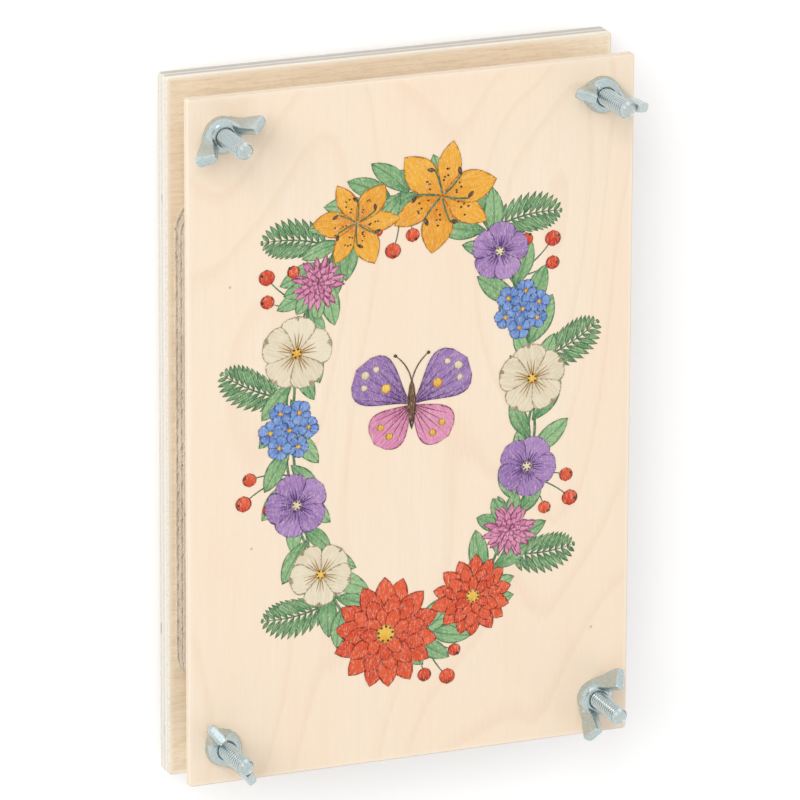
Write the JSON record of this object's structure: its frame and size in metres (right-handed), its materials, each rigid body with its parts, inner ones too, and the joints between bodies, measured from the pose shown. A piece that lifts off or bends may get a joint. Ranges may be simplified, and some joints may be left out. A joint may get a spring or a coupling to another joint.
{
  "type": "flower press",
  "caption": "Plywood press that squeezes plants flat between corrugated cards and blotting papers as wing nuts tighten on corner bolts.",
  "frame": {"origin": "under the middle of the press, on the surface that its four bolt heads rest on", "axes": "+Z along the bolts, out of the printed front board; +X to the right of that board; +Y to its top"},
  "size_m": [0.1619, 0.245, 0.0536],
  "materials": {
    "front_plywood": "matte",
    "back_plywood": "matte",
    "zinc_plated_steel": "satin",
    "corrugated_cardboard": "matte",
    "blotting_paper": "matte"
  },
  "bodies": {
    "base": {"back_board": "back_plywood", "carriage_bolt_top_left": "zinc_plated_steel", "carriage_bolt_top_right": "zinc_plated_steel", "carriage_bolt_bottom_left": "zinc_plated_steel", "carriage_bolt_bottom_right": "zinc_plated_steel", "corrugated_card_1": "corrugated_cardboard", "blotting_paper_1": "blotting_paper"},
    "leaf_2": {"blotting_paper_2": "blotting_paper", "corrugated_card_2": "corrugated_cardboard", "blotting_paper_3": "blotting_paper"},
    "leaf_3": {"blotting_paper_4": "blotting_paper", "corrugated_card_3": "corrugated_cardboard", "blotting_paper_5": "blotting_paper"},
    "leaf_4": {"blotting_paper_6": "blotting_paper", "corrugated_card_4": "corrugated_cardboard"},
    "front": {"front_board": "front_plywood"},
    "nut_top_left": {"wing_nut_top_left": "zinc_plated_steel"},
    "nut_top_right": {"wing_nut_top_right": "zinc_plated_steel"},
    "nut_bottom_left": {"wing_nut_bottom_left": "zinc_plated_steel"},
    "nut_bottom_right": {"wing_nut_bottom_right": "zinc_plated_steel"}
  },
  "joints": [
    {"name": "front_lift", "type": "slide", "parent": "base", "child": "front", "axis": [0, 0, 1], "range_m": [0, 0.016]},
    {"name": "leaf_2_lift", "type": "slide", "parent": "base", "child": "leaf_2", "axis": [0, 0, 1], "range_m": [0, 0.004]},
    {"name": "leaf_3_lift", "type": "slide", "parent": "base", "child": "leaf_3", "axis": [0, 0, 1], "range_m": [0, 0.008]},
    {"name": "leaf_4_lift", "type": "slide", "parent": "base", "child": "leaf_4", "axis": [0, 0, 1], "range_m": [0, 0.012]},
    {"name": "nut_top_left_turn", "type": "hinge", "parent": "front", "child": "nut_top_left", "pos_m": [-0.068, 0.107, 0.0312], "axis": [0, 0, 1], "range_deg": [0, 5760]},
    {"name": "nut_top_right_turn", "type": "hinge", "parent": "front", "child": "nut_top_right", "pos_m": [0.068, 0.107, 0.0312], "axis": [0, 0, 1], "range_deg": [0, 5760]},
    {"name": "nut_bottom_left_turn", "type": "hinge", "parent": "front", "child": "nut_bottom_left", "pos_m": [-0.068, -0.107, 0.0312], "axis": [0, 0, 1], "range_deg": [0, 5760]},
    {"name": "nut_bottom_right_turn", "type": "hinge", "parent": "front", "child": "nut_bottom_right", "pos_m": [0.068, -0.107, 0.0312], "axis": [0, 0, 1], "range_deg": [0, 5760]}
  ],
  "couplings": [
    {"joint": "leaf_2_lift", "follows": "front_lift", "ratio": 0.25},
    {"joint": "leaf_3_lift", "follows": "front_lift", "ratio": 0.5},
    {"joint": "leaf_4_lift", "follows": "front_lift", "ratio": 0.75},
    {"joint": "nut_top_left_turn", "follows": "front_lift", "rad_per_m": 6283.2},
    {"joint": "nut_top_right_turn", "follows": "front_lift", "rad_per_m": 6283.2},
    {"joint": "nut_bottom_left_turn", "follows": "front_lift", "rad_per_m": 6283.2},
    {"joint": "nut_bottom_right_turn", "follows": "front_lift", "rad_per_m": 6283.2}
  ]
}
